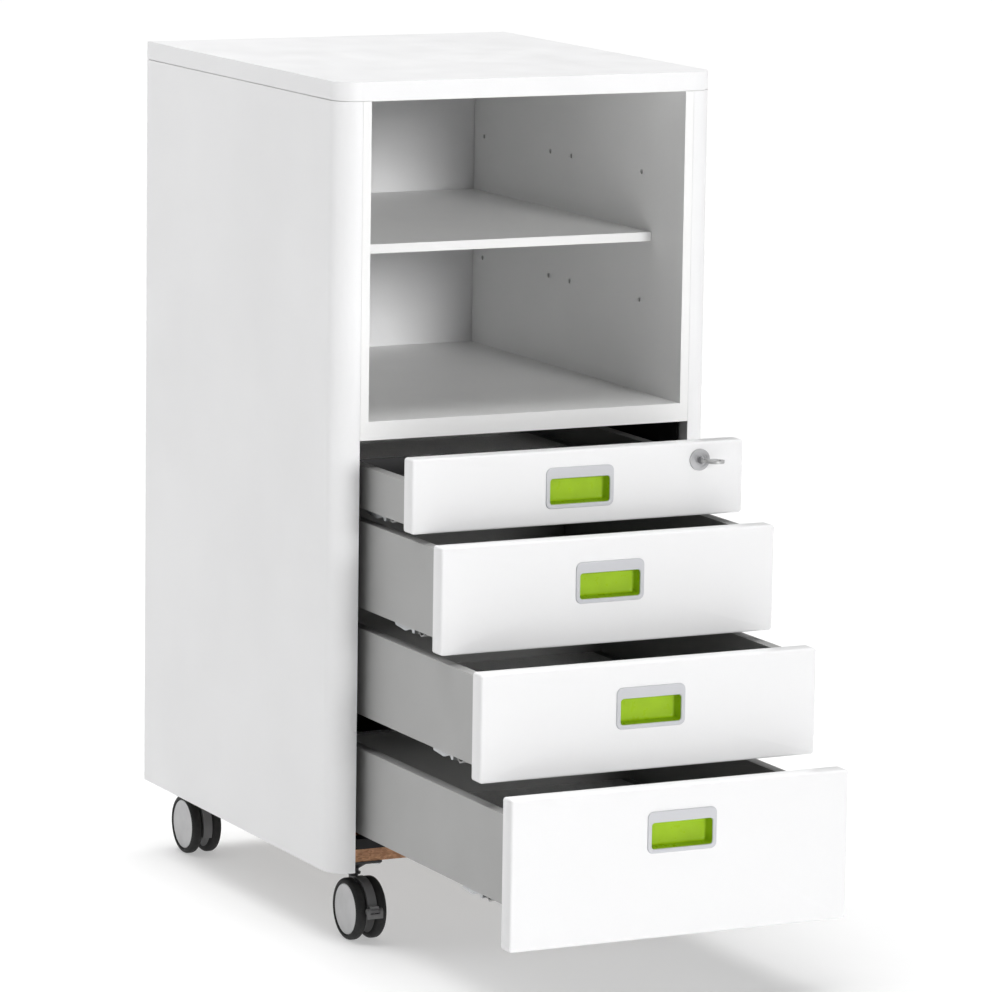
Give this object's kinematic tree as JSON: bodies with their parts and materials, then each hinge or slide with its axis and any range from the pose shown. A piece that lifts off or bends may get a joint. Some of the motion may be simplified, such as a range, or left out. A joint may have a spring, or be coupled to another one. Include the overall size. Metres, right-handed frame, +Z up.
{
  "type": "filing cabinet",
  "caption": "Steel pedestal cabinet on castors, with an open shelved compartment above sliding drawers that have recessed handles and a key lock.",
  "frame": {"origin": "on the floor under the middle of the whole, open drawers included", "axes": "+Z up, +X to the cabinet's right as seen from the front, +Y from the drawer fronts towards the back"},
  "size_m": [0.43, 0.8588, 0.894],
  "materials": {
    "body_paint": "fine-textured white powder coat",
    "inner_paint": "white powder coat",
    "frame_paint": "satin anthracite paint",
    "box_paint": "grey powder coat",
    "front_lacquer": "smooth white lacquer on board",
    "board": "bare brown particle board",
    "slide_zinc": "zinc plated steel",
    "lock_nickel": "satin nickel plate",
    "handle_silver": "satin silver paint",
    "cup_lime": "lime green moulded plastic",
    "catch_grey": "light grey moulded plastic",
    "tray_black": "fine-grained black plastic",
    "castor_black": "black moulded nylon",
    "plate_black": "black painted steel",
    "wheel_rubber": "black rubber tyres on grey discs",
    "lever_grey": "dark grey moulded plastic",
    "key_silver": "nickel plated steel",
    "core_white": "white-faced particle board"
  },
  "bodies": {
    "cabinet": {"top_panel": "body_paint", "top_core": "core_white", "side_left": "body_paint", "side_right": "body_paint", "back_panel": "body_paint", "inner_wall_left": "inner_paint", "inner_wall_right": "inner_paint", "compartment_floor": "inner_paint", "shelf": "inner_paint", "shelf_pins": "lock_nickel", "base_board": "board", "inner_frame": "frame_paint", "cabinet_rails": "slide_zinc", "castor_plates": "plate_black", "plate_screws": "slide_zinc"},
    "lock_bar": {"lock_bar": "slide_zinc"},
    "drawer_1": {"drawer_front_1": "front_lacquer", "drawer_box_1": "box_paint", "handle_frame_1": "handle_silver", "handle_cup_1": "cup_lime", "slide_runner_1": "slide_zinc", "pen_tray": "tray_black", "lock_housing": "lock_nickel"},
    "catch_1": {"slide_catch_1": "catch_grey"},
    "middle_1": {"slide_middle_1": "slide_zinc"},
    "drawer_2": {"drawer_front_2": "front_lacquer", "drawer_box_2": "box_paint", "handle_frame_2": "handle_silver", "handle_cup_2": "cup_lime", "slide_runner_2": "slide_zinc"},
    "catch_2": {"slide_catch_2": "catch_grey"},
    "middle_2": {"slide_middle_2": "slide_zinc"},
    "drawer_3": {"drawer_front_3": "front_lacquer", "drawer_box_3": "box_paint", "handle_frame_3": "handle_silver", "handle_cup_3": "cup_lime", "slide_runner_3": "slide_zinc"},
    "catch_3": {"slide_catch_3": "catch_grey"},
    "middle_3": {"slide_middle_3": "slide_zinc"},
    "drawer_4": {"drawer_front_4": "front_lacquer", "drawer_box_4": "box_paint", "handle_frame_4": "handle_silver", "handle_cup_4": "cup_lime", "slide_runner_4": "slide_zinc"},
    "catch_4": {"slide_catch_4": "catch_grey"},
    "middle_4": {"slide_middle_4": "slide_zinc"},
    "lock_cylinder": {"lock_core": "lock_nickel", "lock_cam": "slide_zinc", "key_blade": "lock_nickel"},
    "key_bow": {"key_bow": "key_silver"},
    "castor_fl": {"castor_hood_fl": "castor_black"},
    "wheels_fl": {"castor_wheels_fl": "wheel_rubber"},
    "brake_fl": {"brake_lever_fl": "lever_grey"},
    "castor_fr": {"castor_hood_fr": "castor_black"},
    "wheels_fr": {"castor_wheels_fr": "wheel_rubber"},
    "brake_fr": {"brake_lever_fr": "lever_grey"},
    "castor_rl": {"castor_hood_rl": "castor_black"},
    "wheels_rl": {"castor_wheels_rl": "wheel_rubber"},
    "castor_rr": {"castor_hood_rr": "castor_black"},
    "wheels_rr": {"castor_wheels_rr": "wheel_rubber"}
  },
  "joints": [
    {"name": "drawer_1_slide", "type": "slide", "parent": "cabinet", "child": "drawer_1", "axis": [0, -1, 0], "range_m": [-0.1236, 0.2764]},
    {"name": "middle_1_slide", "type": "slide", "parent": "cabinet", "child": "middle_1", "axis": [0, -1, 0], "range_m": [-0.0618, 0.1382]},
    {"name": "catch_1_lever", "type": "hinge", "parent": "drawer_1", "child": "catch_1", "pos_m": [0, -0.1081, 0.4523], "axis": [-1, 0, 0], "range_deg": [0, 6]},
    {"name": "drawer_2_slide", "type": "slide", "parent": "cabinet", "child": "drawer_2", "axis": [0, -1, 0], "range_m": [-0.1936, 0.2064]},
    {"name": "middle_2_slide", "type": "slide", "parent": "cabinet", "child": "middle_2", "axis": [0, -1, 0], "range_m": [-0.0968, 0.1032]},
    {"name": "catch_2_lever", "type": "hinge", "parent": "drawer_2", "child": "catch_2", "pos_m": [0, -0.1781, 0.3488], "axis": [-1, 0, 0], "range_deg": [0, 6]},
    {"name": "drawer_3_slide", "type": "slide", "parent": "cabinet", "child": "drawer_3", "axis": [0, -1, 0], "range_m": [-0.2864, 0.1136]},
    {"name": "middle_3_slide", "type": "slide", "parent": "cabinet", "child": "middle_3", "axis": [0, -1, 0], "range_m": [-0.1432, 0.0568]},
    {"name": "catch_3_lever", "type": "hinge", "parent": "drawer_3", "child": "catch_3", "pos_m": [0, -0.2709, 0.2373], "axis": [-1, 0, 0], "range_deg": [0, 6]},
    {"name": "drawer_4_slide", "type": "slide", "parent": "cabinet", "child": "drawer_4", "axis": [0, -1, 0], "range_m": [-0.3572, 0.0428]},
    {"name": "middle_4_slide", "type": "slide", "parent": "cabinet", "child": "middle_4", "axis": [0, -1, 0], "range_m": [-0.1786, 0.0214]},
    {"name": "catch_4_lever", "type": "hinge", "parent": "drawer_4", "child": "catch_4", "pos_m": [0, -0.3417, 0.1116], "axis": [-1, 0, 0], "range_deg": [0, 6]},
    {"name": "lock_bar_lift", "type": "slide", "parent": "cabinet", "child": "lock_bar", "axis": [0, 0, 1], "range_m": [0, 0.008]},
    {"name": "lock_turn", "type": "hinge", "parent": "drawer_1", "child": "lock_cylinder", "pos_m": [0.1371, -0.1942, 0.5089], "axis": [0, 1, 0], "range_deg": [0, 90]},
    {"name": "key_bow_fold", "type": "hinge", "parent": "lock_cylinder", "child": "key_bow", "pos_m": [0.1371, -0.2027, 0.5089], "axis": [0, 0, 1], "range_deg": [-120, 30]},
    {"name": "castor_fl_swivel", "type": "hinge", "parent": "cabinet", "child": "castor_fl", "pos_m": [-0.17, -0.0256, 0.065], "axis": [0, 0, 1], "continuous": true},
    {"name": "wheels_fl_roll", "type": "hinge", "parent": "castor_fl", "child": "wheels_fl", "pos_m": [-0.17, -0.0416, 0.0325], "axis": [1, 0, 0], "continuous": true},
    {"name": "brake_fl_lever", "type": "hinge", "parent": "castor_fl", "child": "brake_fl", "pos_m": [-0.17, -0.0779, 0.0365], "axis": [-1, 0, 0], "range_deg": [0, 20]},
    {"name": "castor_fr_swivel", "type": "hinge", "parent": "cabinet", "child": "castor_fr", "pos_m": [0.17, -0.0256, 0.065], "axis": [0, 0, 1], "continuous": true},
    {"name": "wheels_fr_roll", "type": "hinge", "parent": "castor_fr", "child": "wheels_fr", "pos_m": [0.17, -0.0416, 0.0325], "axis": [1, 0, 0], "continuous": true},
    {"name": "brake_fr_lever", "type": "hinge", "parent": "castor_fr", "child": "brake_fr", "pos_m": [0.17, -0.0779, 0.0365], "axis": [-1, 0, 0], "range_deg": [0, 20]},
    {"name": "castor_rl_swivel", "type": "hinge", "parent": "cabinet", "child": "castor_rl", "pos_m": [-0.17, 0.4034, 0.065], "axis": [0, 0, 1], "continuous": true},
    {"name": "wheels_rl_roll", "type": "hinge", "parent": "castor_rl", "child": "wheels_rl", "pos_m": [-0.17, 0.3874, 0.0325], "axis": [1, 0, 0], "continuous": true},
    {"name": "castor_rr_swivel", "type": "hinge", "parent": "cabinet", "child": "castor_rr", "pos_m": [0.17, 0.4034, 0.065], "axis": [0, 0, 1], "continuous": true},
    {"name": "wheels_rr_roll", "type": "hinge", "parent": "castor_rr", "child": "wheels_rr", "pos_m": [0.17, 0.3874, 0.0325], "axis": [1, 0, 0], "continuous": true}
  ],
  "couplings": [
    {"joint": "middle_1_slide", "follows": "drawer_1_slide", "ratio": 0.5},
    {"joint": "middle_2_slide", "follows": "drawer_2_slide", "ratio": 0.5},
    {"joint": "middle_3_slide", "follows": "drawer_3_slide", "ratio": 0.5},
    {"joint": "middle_4_slide", "follows": "drawer_4_slide", "ratio": 0.5}
  ]
}
